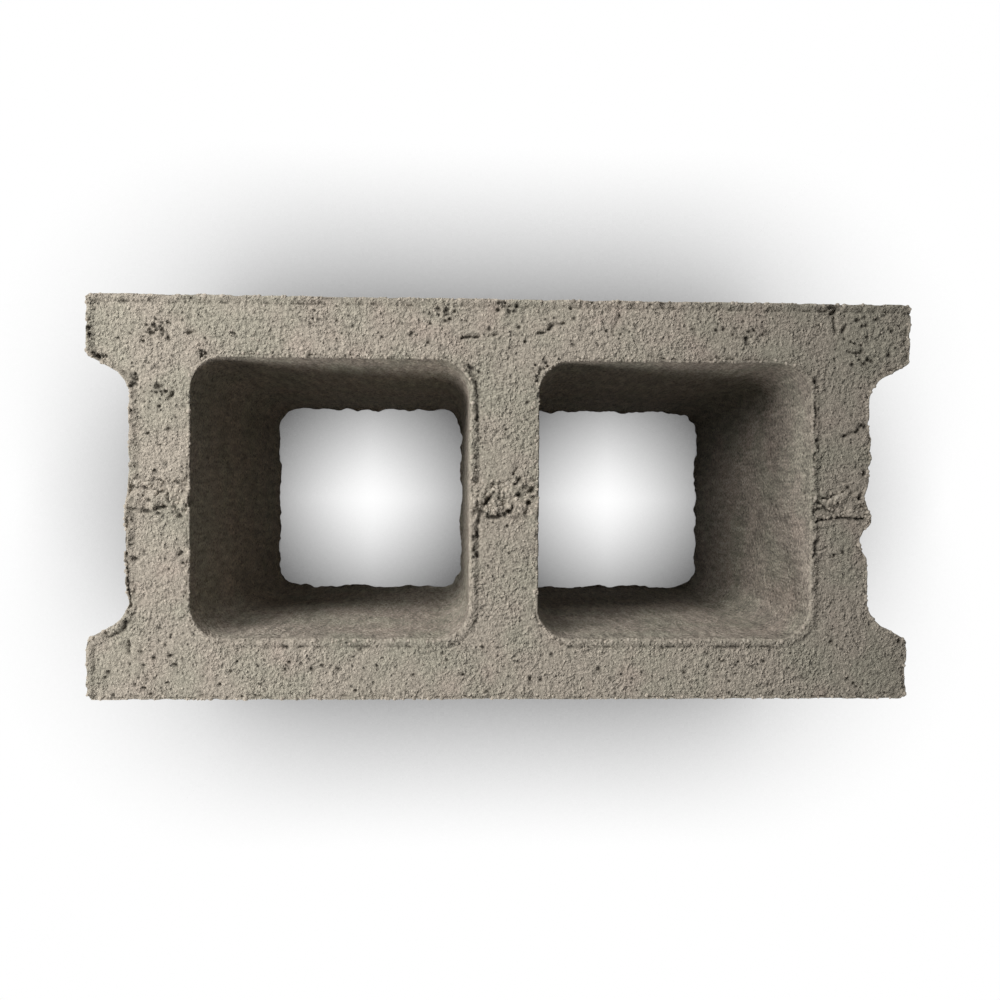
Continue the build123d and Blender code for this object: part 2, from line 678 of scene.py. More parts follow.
def pit_table(rng, signed_distance, scattered):
    """Places and radii of the pits in the top face: deep ones, clusters and a scatter between them."""
    pits = list(DEEP_PITS)
    for x, y, spread_x, spread_y, count, radius in PIT_CLUSTERS:
        for _ in range(count):
            place = rng.normal((x, y), (spread_x * 0.55, spread_y * 0.55))
            pits.append((*place, radius * rng.uniform(0.65, 1.35)))
    for _ in range(scattered):
        place = rng.uniform((-195, -95), (195, 95))
        pits.append((*place, 0.4 + 0.6 * rng.random() ** 2))
    pits = np.array(pits) * MM
    room = signed_distance(pits[:, :2])
    return pits[room < -0.3 * MM]


def fissure_points(points, step):
    """Evenly spaced points along a fissure, in metres."""
    points = np.array(points) * MM
    spans = np.linalg.norm(np.diff(points, axis=0), axis=1)
    marks = np.concatenate([[0], np.cumsum(spans)])
    stops = np.arange(0, marks[-1], step)
    path = np.stack([np.interp(stops, marks, points[:, axis]) for axis in (0, 1)], axis=1)
    level = np.column_stack([path, np.zeros(len(path))])
    sway = [layered_noise(level, 3 * MM, salt, 2) * 0.55 * MM for salt in (41, 43)]
    return path + np.stack(sway, axis=1)


def shoe_imprint(places, relief, signed_distance):
    """Where the tamping shoe pressed the top face, the strips it missed, and the distances from both."""
    shift = np.array((relief.imprint_shift_x, relief.imprint_shift_y))
    ragged = layered_noise(np.column_stack([places, np.zeros(len(places))]), 5 * MM, 31) * 0.45 * MM
    inside = -signed_distance(places - shift) + ragged
    pressed = smooth_step(-0.2 * MM, 0.5 * MM, inside)
    along, middles, widths = np.array(STRIPS).T * MM
    middle = np.interp(places[:, 0], along, middles)
    off_strip = np.abs(places[:, 1] - middle) - np.interp(places[:, 0], along, widths) / 2 + ragged
    strip = 1 - smooth_step(-0.3 * MM, 0.4 * MM, off_strip)
    return pressed * (1 - strip), strip, inside, off_strip


def face_normals(points, triangles):
    """Area-weighted normals at the points of a triangle mesh."""
    a, b, c = (points[triangles[:, k]] for k in range(3))
    flat = np.cross(b - a, c - a)
    total = np.zeros_like(points)
    for k in range(3):
        np.add.at(total, triangles[:, k], flat)
    return total / np.maximum(np.linalg.norm(total, axis=1, keepdims=True), 1e-12)


def as_triangles(faces):
    """Every face of a mixed list as triangles."""
    triangles = []
    for face in faces:
        triangles += [(face[0], face[k], face[k + 1]) for k in range(1, len(face) - 1)]
    return np.array(triangles)


def thinned(points, gap):
    """The points without those that lie closer than gap to an earlier one."""
    tree = flat_tree(points)
    keep = np.ones(len(points), bool)
    for k, (x, y) in enumerate(points):
        if keep[k]:
            for _, other, _ in tree.find_range((x, y, 0), gap):
                if other > k:
                    keep[other] = False
    return points[keep]


def top_points(pits, low, high, on_top, rng):
    """Points inside the top face, closer together round pits, along fissures and on the strips."""
    inner = [hex_points(TOP_SPACING, low, high, 0.22, rng)]
    for x, y, radius in pits[pits[:, 2] > 0.5 * MM]:
        turn = rng.uniform(0, math.tau)
        inner.append([(x, y)])
        for share, count in ((0.55, 5), (1.05, 7)):
            angles = turn + np.arange(count) / count * math.tau
            inner.append(np.stack([np.cos(angles), np.sin(angles)], axis=1) * radius * share + (x, y))
    for points, width in FISSURES:
        path = fissure_points(points, 0.6 * MM)
        for offset in (-width, -width / 2, 0, width / 2, width):
            inner.append(path + np.array((0, offset * MM)))
    for x, middle, width in STRIPS:
        strip_low = np.array((x - 18, middle - width / 2 - 1)) * MM
        strip_high = np.array((x + 18, middle + width / 2 + 1)) * MM
        inner.append(hex_points(STRIP_SPACING, strip_low, strip_high, 0.2, rng))
    inner = np.concatenate([np.array(points) for points in inner])
    return thinned(inner[on_top(inner) < -0.55 * MM], LEAST_GAP)


def cast_shape(sizes, relief):
    """The surface before wear: its mesh builder, its pits, and the signed distance on the top face."""
    rng = np.random.default_rng(relief.seed)
    builder = MeshBuilder()
    corners, radii = block_corners(sizes)
    outer = Outline(corners, radii, EDGE_SPACING)
    walls = [wall_rings(builder, outer, lambda share: (corners, radii), sizes.arris, sizes.arris, SIDE, 1)]
    cores = []
    for side in (-1, 1):
        section = partial(core_corners, sizes, side)
        core = Outline(*section(0), EDGE_SPACING)
        cores.append((core, section))
        walls.append(wall_rings(builder, core, section, sizes.core_mouth, sizes.core_foot, CORE, -1))

    # The boundary of the material on the top face and on the underside
    finders = []
    for share, core_round in ((0, sizes.core_mouth), (1, sizes.core_foot)):
        loops = [outer.at(corners, radii, -sizes.arris)]
        for core, section in cores:
            points, outward = core.at(*section(share), core_round)
            loops.append((points, -outward))
        finders.append(boundary_finder(loops))
    on_top, below = finders

    # The two bed faces
    low = (-HALF_LENGTH, -HALF_WIDTH)
    high = (HALF_LENGTH, HALF_WIDTH)
    pits = pit_table(rng, on_top, relief.scattered_pits)
    inner = top_points(pits, low, high, on_top, rng)
    add_plate(builder, [first for first, _ in walls], inner, on_top, TOP, False)
    spread = hex_points(UNDER_SPACING, low, high, 0.15, rng)
    spread = spread[below(spread) < -1.6 * MM]
    add_plate(builder, [last for _, last in walls], spread, below, UNDER, True)
    return builder, pits, on_top


# Wear: marks sink the points along their normals, and the hollows are noted to get painted shade


def skin_sink(points, relief):
    """How far every point lies below the highest grains before any mark is made."""
    sink = np.full(len(points), relief.skin)
    sink += 0.12 * MM * (1 + soft_noise(points, 38 * MM, 1))
    rough = 0.5 + smooth_step(-0.3, 0.5, soft_noise(points, 14 * MM, 3))
    sink -= relief.skin * 0.75 * rough * layered_noise(points, 3.4 * MM, 2, 2)
    return sink


def press_top(points, up, sink, relief, on_top):
    """Presses the tamping shoe into the top face. Returns sink, painted shade and the mask of the strips.
    """
    share = smooth_step(0.3, 0.9, up) * smooth_step(2.6 * MM, 1.2 * MM, HEIGHT - points[:, 2])
    pressed, strip, inside, off_strip = shoe_imprint(points[:, :2], relief, on_top)
    sink = sink + relief.imprint_depth * pressed * share
    lumps = layered_noise(points, 3.8 * MM, 5, 2)
    gaps = np.clip(1 - 4.5 * np.abs(layered_noise(points, 4.6 * MM, 7, 2)), 0, 1)
    gaps *= smooth_step(-0.3, 0.4, soft_noise(points, 7 * MM, 9)) * strip * share
    sink += relief.strip_relief * (0.45 - lumps) * strip * share + 1.1 * MM * gaps
    torn = smooth_step(-0.15, 0.45, layered_noise(points, 3.2 * MM, 6, 2))
    seam = bell(inside - 0.5 * MM, 0.6 * MM) * torn * share
    sink += 1.1 * MM * seam
    step = bell(off_strip - 0.6 * MM, 0.7 * MM) * torn * share
    sink += 0.6 * MM * step
    # Painted shade in the seams, below each strip's lower step and in the strips' gaps
    shade_in_hollows = 0.75 * np.maximum(seam, np.maximum(0.6 * step, 0.5 * gaps))
    return sink, shade_in_hollows, strip * share


def pit_top(points, at_top, pits, sink, shade_in_hollows, relief):
    """Sinks the pits and the fissures of the top face and paints shade into them."""
    tree = flat_tree(points[at_top, :2])
    wobble = 1 + 0.55 * soft_noise(points, 1.5 * MM, 8)
    for x, y, radius in pits:
        for _, index, distance in tree.find_range((x, y, 0), radius * 1.7):
            k = at_top[index]
            bowl = 1 - (distance / radius * wobble[k]) ** 2
            if bowl > 0:
                sink[k] = max(sink[k], sink[k] * 0.5 + relief.pit_depth * radius / (0.8 * MM) * bowl)
                shade_in_hollows[k] = max(shade_in_hollows[k], min(1, bowl * 1.6) * min(1, radius / (0.7 * MM)))
    gape = 0.35 + 0.65 * smooth_step(-0.4, 0.3, soft_noise(points, 2.2 * MM, 15))
    level = sink.copy()
    for line, width in FISSURES:
        for x, y in fissure_points(line, 0.4 * MM):
            for _, index, distance in tree.find_range((x, y, 0), width * MM):
                k = at_top[index]
                bowl = (1 - distance / (width * MM)) * gape[k]
                sink[k] = max(sink[k], level[k] + relief.fissure_depth * bowl)
                shade_in_hollows[k] = max(shade_in_hollows[k], min(1, 1.5 * bowl))


def crumbling(points, up, at_top, on_top):
    """How near each point is to a rim of the top face, and how much has crumbled there."""
    rim = np.clip(1 - np.abs(up - 0.6) / 0.45, 0, 1) * (points[:, 2] > HEIGHT - 4 * MM)
    near_rim = np.zeros(len(points))
    near_rim[at_top] = bell(np.maximum(-on_top(points[at_top, :2]), 0), 1.6 * MM)
    near_rim *= bell(HEIGHT - points[:, 2], 1.8 * MM)
    near_rim = np.maximum(near_rim, rim)
    bite = smooth_step(0.0, 0.6, layered_noise(points, 3.0 * MM, 11, 2))
    bite *= 0.45 + 0.55 * smooth_step(-0.2, 0.5, soft_noise(points, 26 * MM, 12))
    bite += 0.7 * smooth_step(0.2, 0.85, layered_noise(points, 9 * MM, 16, 2))
    return near_rim, bite


def ragged_feet(points, normals, relief):
    """How far the lower edges stray from their line, above 0 into the material."""
    foot = bell(points[:, 2], 5 * MM) * (1 - np.abs(normals[:, 2]))
    in_core = (np.abs(points[:, 0]) < CORE_ZONE_X) & (np.abs(points[:, 1]) < CORE_ZONE_Y)
    bias = np.where(in_core, -0.25, 0.1)
    return relief.ragged_foot * foot * (layered_noise(points, 7 * MM, 13) + bias)


def break_edge(points, sizes):
    """Moves the upper edge of each recess to its broken outline."""
    floor_x = HALF_LENGTH - sizes.recess_depth
    for side, edge in BROKEN_EDGES.items():
        across, offsets = np.array(edge).T * MM
        out = points[:, 0] * side
        share = smooth_step(floor_x - 9 * MM, floor_x - 2 * MM, out)
        share *= smooth_step(floor_x + 3 * MM, floor_x + 1 * MM, out)
        share *= bell(HEIGHT - points[:, 2], 14 * MM)
        points[:, 0] += side * np.interp(points[:, 1], across, offsets, 0, 0) * share
    return points


def bite_chips(points):
    """Pushes the edges back where chips have broken off."""
    for x, y, z, radius in CHIPS:
        away = points - np.array((x, y, z)) * MM
        distance = np.linalg.norm(away, axis=1)
        near = np.flatnonzero(distance < radius * 1.3 * MM)
        reach = radius * MM * (1 + 0.09 * layered_noise(points[near], 2.5 * MM, 14))
        push = np.maximum(reach - distance[near], 0)
        points[near] += away[near] / distance[near, None] * push[:, None]


def weather(builder, pits, on_top, sizes, relief):
    """Presses, pits, crumbles and chips the surface. Returns points, painted shade of hollows, and wear."""
    points = np.array(builder.points)
    normals = face_normals(points, as_triangles(builder.faces))
    up = np.clip(normals[:, 2], 0, 1)
    at_top = np.flatnonzero(points[:, 2] > HEIGHT - 3 * MM)
    sink = skin_sink(points, relief)
    shade_in_hollows = np.zeros(len(points))
    wear = np.zeros(len(points))
    pressed = press_top(points[at_top], up[at_top], sink[at_top], relief, on_top)
    sink[at_top], shade_in_hollows[at_top], wear[at_top] = pressed
    pit_top(points, at_top, pits, sink, shade_in_hollows, relief)
    near_rim, bite = crumbling(points, up, at_top, on_top)
    sink += relief.crumble * bite * near_rim
    # Painted shade in the crumbled rims
    shade_in_hollows = np.maximum(shade_in_hollows, 0.55 * bite * near_rim)
    wear[at_top] = np.maximum(wear[at_top], 0.4 * near_rim[at_top])
    sink = np.maximum(sink, 0.02 * MM) + ragged_feet(points, normals, relief)
    points = break_edge(points - normals * sink[:, None], sizes)
    bite_chips(points)
    return np.clip(points, LOW, HIGH), shade_in_hollows, wear


# Materials

# Painted shade: how much of its brightness the concrete keeps at the far right corner, and where along
# the block the darkening begins
PAINTED_SHADE_END = 0.725
PAINTED_SHADE_START = 60 * MM

# Each region's material, in their order: its name, the setting of its colour, the width of its grains
# against the common one, how high they stand, how much their shades differ, its share of open pores,
# and the strength of its upright streaks
FACE_MATERIALS = [
    ("bed_face", "bed", 1.0, 1.3 * MM, 0.3, 0.34, 0.0),
    ("mould_face", "mould", 0.9, 0.55 * MM, 0.2, 0.3, 0.04),
    ("core_wall", "core", 1.0, 1.1 * MM, 0.5, 0.75, 0.3),
    ("pallet_face", "pallet", 0.8, 0.15 * MM, 0.12, 0.2, 0.0),
]


def new_group(name, inputs, outputs):
    """An empty shader node group with named inputs and outputs."""
    group = bpy.data.node_groups.new(name, "ShaderNodeTree")
    kinds = {"vector": "NodeSocketVector", "value": "NodeSocketFloat", "colour": "NodeSocketColor"}
    for label, kind, *default in inputs:
        socket = group.interface.new_socket(label, in_out="INPUT", socket_type=kinds[kind])
        if default:
            socket.default_value = default[0]
    for label, kind in outputs:
        group.interface.new_socket(label, in_out="OUTPUT", socket_type=kinds[kind])
    return group, group.nodes.new("NodeGroupInput"), group.nodes.new("NodeGroupOutput")


class Tree:
    """Short ways to add nodes to a tree."""

    def __init__(self, tree):
        self.tree = tree

    def node(self, kind, inputs=(), **settings):
        """A node with its settings, its inputs being values or sockets to link."""
        node = self.tree.nodes.new(kind)
        for name, value in settings.items():
            setattr(node, name, value)
        for key, value in dict(inputs).items():
            self.feed(node.inputs[key], value)
        return node

    def feed(self, socket, value):
        if isinstance(value, bpy.types.NodeSocket):
            self.tree.links.new(value, socket)
        else:
            socket.default_value = value

    def maths(self, operation, first, second=0.0, third=0.0, clamp=False):
        node = self.tree.nodes.new("ShaderNodeMath")
        node.operation = operation
        node.use_clamp = clamp
        for socket, value in zip(node.inputs, (first, second, third)):
            self.feed(socket, value)
        return node.outputs[0]

    def noise(self, vector, size, detail=3.0, roughness=0.55):
        """Noise from 0 to 1 with lumps of a size in metres, which may be a socket."""
        linked = isinstance(size, bpy.types.NodeSocket)
        scale = self.maths("DIVIDE", 1.0, size) if linked else 1 / size
        inputs = {"Vector": vector, "Scale": scale, "Detail": detail, "Roughness": roughness}
        return self.node("ShaderNodeTexNoise", inputs).outputs["Fac"]

    def ramp(self, value, low, high, start=0.0, end=1.0):
        """Maps a value from low..high to start..end with an even blend."""
        inputs = {0: value, 1: low, 2: high, 3: start, 4: end}
        node = self.node("ShaderNodeMapRange", inputs, interpolation_type="SMOOTHSTEP")
        return node.outputs[0]

    def mix(self, share, first, second, blend="MIX"):
        """Mixes two colours."""
        node = self.tree.nodes.new("ShaderNodeMix")
        node.data_type = "RGBA"
        node.blend_type = blend
        for socket, value in ((node.inputs[0], share), (node.inputs[6], first), (node.inputs[7], second)):
            self.feed(socket, value)
        return node.outputs[2]


def colour(value):
    """A colour with its alpha."""
    return (*value, 1.0)


def sand_group():
    """Sand held in cement: paste that is rough here and smooth there, and single grains in it."""
    group, given, out = new_group(
        "Sand in cement",
        [("Vector", "vector"), ("Grain Size", "value", 0.0015), ("Relief", "value", 0.0003)],
        [("Height", "value"), ("Shade", "value"), ("Gap", "value")],
    )
    tree = Tree(group)
    place = given.outputs["Vector"]
    size = given.outputs["Grain Size"]
    paste = tree.noise(place, tree.maths("MULTIPLY", size, 1.7), 2.0, 0.6)
    dust = tree.noise(place, 0.0007, 2.0)
    rough = tree.ramp(tree.noise(place, 0.013, 2.0), 0.36, 0.64, 0.4, 1.0)
    cell = tree.maths("DIVIDE", 0.6, size)
    grains = tree.node("ShaderNodeTexVoronoi", {"Vector": place, "Scale": cell}, feature="F1")
    split = tree.node("ShaderNodeSeparateColor", {0: grains.outputs["Color"]})
    chosen = tree.maths("GREATER_THAN", split.outputs[0], 0.72)
    away = tree.maths("MULTIPLY_ADD", dust, 0.3, grains.outputs["Distance"])
    crown = tree.maths("MULTIPLY", tree.ramp(away, 0.2, 0.5, 1.0, 0.0), chosen)
    swell = tree.maths("MULTIPLY", tree.maths("SUBTRACT", paste, 0.5), tree.maths("MULTIPLY", rough, 2.2))
    height = tree.maths("MULTIPLY_ADD", tree.maths("SUBTRACT", dust, 0.5), 0.4, swell)
    height = tree.maths("MULTIPLY_ADD", crown, 0.5, height)
    tree.feed(out.inputs["Height"], tree.maths("MULTIPLY", height, given.outputs["Relief"]))
    shade = tree.noise(place, tree.maths("MULTIPLY", size, 0.8), 2.0, 0.7)
    tree.feed(out.inputs["Shade"], tree.maths("MULTIPLY_ADD", crown, 0.25, shade))
    # Gap: where the paste lies low, used for painted shade
    tree.feed(out.inputs["Gap"], tree.maths("MULTIPLY", tree.ramp(paste, 0.34, 0.44, 1.0, 0.0), rough))
    return group


def mottle_group():
    """Slow changes of colour where the mix was wetter, drier or stained."""
    group, given, out = new_group(
        "Mottling",
        [
            ("Vector", "vector"),
            ("Base", "colour"),
            ("Warm", "colour"),
            ("Cool", "colour"),
            ("Amount", "value", 0.5),
        ],
        [("Color", "colour")],
    )
    tree = Tree(group)
    warm = tree.ramp(tree.noise(given.outputs["Vector"], 0.022, 3.0), 0.5, 0.72)
    cool = tree.ramp(tree.noise(given.outputs["Vector"], 0.031, 2.0), 0.35, 0.6, 1.0, 0.0)
    warm = tree.maths("MULTIPLY", warm, given.outputs["Amount"])
    tinted = tree.mix(warm, given.outputs["Base"], given.outputs["Warm"])
    cool = tree.maths("MULTIPLY", cool, given.outputs["Amount"])
    tree.feed(out.inputs["Color"], tree.mix(cool, tinted, given.outputs["Cool"]))
    return group


def pores_group():
    """Small open pores that no mesh shows, in loose clusters, with a mask for their painted shade."""
    group, given, out = new_group(
        "Open pores",
        [
            ("Vector", "vector"),
            ("Size", "value", 0.0022),
            ("Amount", "value", 0.3),
            ("Depth", "value", 0.0006),
        ],
        [("Mask", "value"), ("Height", "value")],
    )
    tree = Tree(group)
    spots = tree.node(
        "ShaderNodeTexVoronoi",
        {"Vector": given.outputs["Vector"], "Scale": tree.maths("DIVIDE", 1.0, given.outputs["Size"])},
        feature="F1",
    )
    split = tree.node("ShaderNodeSeparateColor", {0: spots.outputs["Color"]})
    clusters = tree.ramp(tree.noise(given.outputs["Vector"], 0.014, 3.0), 0.42, 0.66)
    density = tree.maths("MULTIPLY_ADD", clusters, 0.85, 0.15)
    limit = tree.maths("MULTIPLY", given.outputs["Amount"], density)
    chosen = tree.maths("LESS_THAN", split.outputs[0], limit)
    ragged = tree.maths("MULTIPLY", tree.noise(given.outputs["Vector"], 0.0009, 2.0), 0.35)
    hole = tree.ramp(tree.maths("ADD", spots.outputs["Distance"], ragged), 0.28, 0.5, 1.0, 0.0)
    mask = tree.maths("MULTIPLY", hole, chosen)
    tree.feed(out.inputs["Mask"], mask)
    below = tree.maths("MULTIPLY", given.outputs["Depth"], -1.0)
    tree.feed(out.inputs["Height"], tree.maths("MULTIPLY", mask, below))
    return group


def painted_falloff_group():
    """Painted shade: the concrete darker towards the far right corner."""
    group, given, out = new_group("Damp end", [("Vector", "vector")], [("Shade", "value")])
    tree = Tree(group)
    place = tree.node("ShaderNodeSeparateXYZ", {0: given.outputs["Vector"]}).outputs
    along = tree.maths("MULTIPLY_ADD", place["Y"], 0.3, place["X"])
    tree.feed(out.inputs["Shade"], tree.ramp(along, PAINTED_SHADE_START, HALF_LENGTH, 1.0, PAINTED_SHADE_END))
    return group


def concrete(name, groups, colours, base, grain, relief, contrast, pores, streaks):
    """One face of the concrete: sand, pores and mottling over a base colour, and painted shade."""
    material = bpy.data.materials.new(name)
    material.use_nodes = True
    tree = Tree(material.node_tree)
    shader = material.node_tree.nodes["Principled BSDF"]
    place = tree.node("ShaderNodeTexCoord").outputs["Object"]
    inputs = {"Vector": place, "Grain Size": grain, "Relief": relief}
    sand = tree.node("ShaderNodeGroup", inputs, node_tree=groups["sand"])
    inputs = {"Vector": place, "Size": grain * 1.7, "Amount": pores}
    holes = tree.node("ShaderNodeGroup", inputs, node_tree=groups["pores"])
    warm = [channel * base[0] / colours.bed[0] for channel in colours.warm]
    cool = [channel * base[0] / colours.bed[0] for channel in colours.cool]
    inputs = {"Vector": place, "Base": colour(base), "Warm": colour(warm), "Cool": colour(cool)}
    mottle = tree.node("ShaderNodeGroup", {**inputs, "Amount": 0.75}, node_tree=groups["mottle"])
    shade = tree.ramp(sand.outputs["Shade"], 0.25, 0.8, 1 - contrast, 1 + contrast)
    body = tree.mix(1.0, mottle.outputs["Color"], shade, "MULTIPLY")
    # Painted shade, darker towards the far right corner
    painted_falloff = tree.node("ShaderNodeGroup", {"Vector": place}, node_tree=groups["painted_falloff"])
    body = tree.mix(1.0, body, painted_falloff.outputs["Shade"], "MULTIPLY")
    if streaks:
        stretched = tree.node("ShaderNodeMapping", {"Vector": place, "Scale": (1.0, 1.0, 0.25)}).outputs[0]
        drag = tree.ramp(tree.noise(stretched, 0.0035, 4.0, 0.7), 0.3, 0.7, 1 - streaks, 1 + streaks)
        body = tree.mix(1.0, body, drag, "MULTIPLY")
    # Painted shade where the paste lies low
    body = tree.mix(tree.maths("MULTIPLY", sand.outputs["Gap"], 0.4), body, colour(colours.pit))
    hollow = tree.node("ShaderNodeAttribute", attribute_name="hollow").outputs["Fac"]
    # Painted shade in the pores and the hollows
    painted_shade = tree.maths("MAXIMUM", tree.maths("MULTIPLY", holes.outputs["Mask"], 0.8), hollow)
    body = tree.mix(tree.maths("MULTIPLY", painted_shade, 0.85), body, colour(colours.pit))
    tree.feed(shader.inputs["Base Color"], body)
    shader.inputs["Roughness"].default_value = 0.92
    shader.inputs["Specular IOR Level"].default_value = 0.25
    height = tree.maths("ADD", sand.outputs["Height"], holes.outputs["Height"])
    bump = tree.node("ShaderNodeBump", {"Height": height, "Strength": 1.0, "Distance": 1.0})
    tree.feed(shader.inputs["Normal"], bump.outputs["Normal"])
    return material


def sand_material(colours, painted_falloff_tree):
    """Single grains, each with a shade of its own."""
    material = bpy.data.materials.new("sand_grain")
    material.use_nodes = True
    tree = Tree(material.node_tree)
    shader = material.node_tree.nodes["Principled BSDF"]
    own = tree.node("ShaderNodeAttribute", attribute_name="grain_shade").outputs["Fac"]
    steps = tree.node("ShaderNodeValToRGB", {"Fac": own})
    ramp = steps.color_ramp
    ramp.elements[0].color = colour(colours.dark_grain)
    ramp.elements[1].color = colour(colours.pale_grain)
    for position, brightness in ((0.12, 0.8), (0.75, 1.12)):
        ramp.elements.new(position).color = colour([channel * brightness for channel in colours.bed])
    place = tree.node("ShaderNodeTexCoord").outputs["Object"]
    speck = tree.ramp(tree.noise(place, 0.0005, 2.0), 0.3, 0.7, 0.86, 1.14)
    body = tree.mix(1.0, steps.outputs["Color"], speck, "MULTIPLY")
    # Painted shade, darker towards the far right corner
    painted_falloff = tree.node("ShaderNodeGroup", {"Vector": place}, node_tree=painted_falloff_tree)
    tree.feed(shader.inputs["Base Color"], tree.mix(1.0, body, painted_falloff.outputs["Shade"], "MULTIPLY"))
    shader.inputs["Roughness"].default_value = 0.85
    shader.inputs["Specular IOR Level"].default_value = 0.3
    return material


# Sand grains


def pebble():
    """Points and faces of a ball with 80 faces."""
    shape = bmesh.new()
    bmesh.ops.create_icosphere(shape, subdivisions=2, radius=1)
    shape.verts.index_update()
    points = np.array([tuple(corner.co) for corner in shape.verts])
    faces = np.array([[corner.index for corner in face.verts] for face in shape.faces])
    shape.free()
    return points, faces


def sand_grains(surface, relief):
    """Pebbles sunk into the top face: their points, their faces and a shade for each point."""
    rng = np.random.default_rng(relief.seed + 1)
    count = len(surface.vertices)
    places = np.empty(count * 3)
    surface.vertices.foreach_get("co", places)
    places = places.reshape(count, 3)
    outward = np.empty(count * 3)
    surface.vertices.foreach_get("normal", outward)
    outward = outward.reshape(count, 3)
    wear = np.empty(count)
    surface.attributes["wear"].data.foreach_get("value", wear)
    odds = np.where(places[:, 2] > HEIGHT - 2.4 * MM, 0.12 * wear + 0.02, 0)
    chosen = rng.choice(count, relief.loose_grains, replace=False, p=odds / odds.sum())
    ball, ball_faces = pebble()
    points = []
    faces = []
    shades = []
    for number, k in enumerate(chosen):
        radius = relief.grain * rng.uniform(0.3, 0.5 + 0.3 * (wear[k] > 0.3))
        stretch = rng.uniform(0.7, 1.15, 3)
        turn = np.array(Euler(rng.uniform(0, math.tau, 3)).to_matrix())
        lumpy = 1 + 0.13 * soft_noise(ball * MM + number * 7 * MM, 0.9 * MM, 21)
        middle = places[k] - outward[k] * radius * rng.uniform(0.35, 0.7)
        points.append(middle + (ball * stretch * lumpy[:, None] * radius) @ turn.T)
        faces.append(ball_faces + number * len(ball))
        shades.append(np.full(len(ball), rng.random()))
    points = np.clip(np.concatenate(points), LOW, HIGH)
    return points, np.concatenate(faces).tolist(), np.concatenate(shades)


# Studio

# The lamps round the block: name, setting of its power, turn from the left towards the back and height
# in degrees, distance, and size
LAMPS = [
    ("key_lamp", "key_power", 24, 43, 0.9, (0.28, 0.42)),
    ("back_lamp", "back_power", 70, 32, 1.8, (1.15, 0.55)),
    ("low_lamp", "low_power", -45, 12, 0.9, (0.5, 0.2)),
]

# The lamps that light only the walls: name and place along X and Y, then the height and size of each
WALL_LAMPS = [("right_lamp", 1.3, -0.25), ("front_lamp", 0.2, -1.3)]
WALL_LAMP_HEIGHT = HEIGHT * 0.45
WALL_LAMP_SIZE = (0.9, 0.12)

# The floor: how far it reaches from the middle, and how far it lies below the block
FLOOR_REACH = 6.0
FLOOR_DROP = 0.2 * MM

# The camera: place along X and Y, turns about Y, X and Z in degrees, width of the sensor in
# millimetres, and shift of the picture to the side and upwards
CAMERA_PLACE = (-21.65 * MM, 1.52 * MM)
CAMERA_TURNS = (-2.096, -0.86, 0.377)
SENSOR_WIDTH = 36
PICTURE_SHIFT = (0.01032, 0.00939)


# Operators


def make_mesh(name, points, faces):
    """A mesh object in the scene, with its origin at the frame's."""
    mesh = bpy.data.meshes.new(name)
    mesh.from_pydata([tuple(point) for point in points], [], faces)
    mesh.update()
    piece = bpy.data.objects.new(name, mesh)
    bpy.context.scene.collection.objects.link(piece)
    return piece


def mark(mesh, name, values):
    """Stores one number for each point of a mesh."""
    attribute = mesh.attributes.new(name, "FLOAT", "POINT")
    attribute.data.foreach_set("value", np.asarray(values, np.float32))


class OBJECT_OT_cast_block(bpy.types.Operator):
    """Casts the block: one closed mesh with its cores, recesses, tamping marks and worn edges."""

    bl_idname = "object.cast_block"
    bl_label = "Cast the block"

    def execute(self, context):
        sizes, relief, colours, _ = settings(context)
        builder, pits, on_top = cast_shape(sizes, relief)
        points, shade_in_hollows, wear = weather(builder, pits, on_top, sizes, relief)
        block = make_mesh("cast_block", points, builder.faces)
        if len(block.data.polygons) != len(builder.faces):
            raise RuntimeError("the cast surface lost faces")
        block.data.polygons.foreach_set("use_smooth", [True] * len(builder.faces))
        block.data.polygons.foreach_set("material_index", builder.regions)
        # The painted shade of the hollows, kept for the materials
        mark(block.data, "hollow", shade_in_hollows)
        mark(block.data, "wear", wear)
        makers = {"sand": sand_group, "pores": pores_group, "mottle": mottle_group, "painted_falloff": painted_falloff_group}
        groups = {name: maker() for name, maker in makers.items()}
        for name, face, width, *amounts in FACE_MATERIALS:
            base = getattr(colours, face)
            material = concrete(name, groups, colours, base, relief.grain * width, *amounts)
            block.data.materials.append(material)
        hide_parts(NODE)
        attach(block, "root")
        return {"FINISHED"}


class OBJECT_OT_scatter_grains(bpy.types.Operator):
    """Sets sand grains into the cast block's top face, most of them on its rough strips and its rims."""

    bl_idname = "object.scatter_grains"
    bl_label = "Set the sand grains"

    def execute(self, context):
        _, relief, colours, _ = settings(context)
        block = bpy.data.objects.get("cast_block")
        if block is None:
            raise RuntimeError("cast the block before its grains are set")
        points, faces, shades = sand_grains(block.data, relief)
        grains = make_mesh("sand_grains", points, faces)
        grains.data.polygons.foreach_set("use_smooth", [True] * len(faces))
        mark(grains.data, "grain_shade", shades)
        # The grains get the same painted shade towards the far right corner
        grains.data.materials.append(sand_material(colours, bpy.data.node_groups["Damp end"]))
        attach(grains, "root")
        return {"FINISHED"}


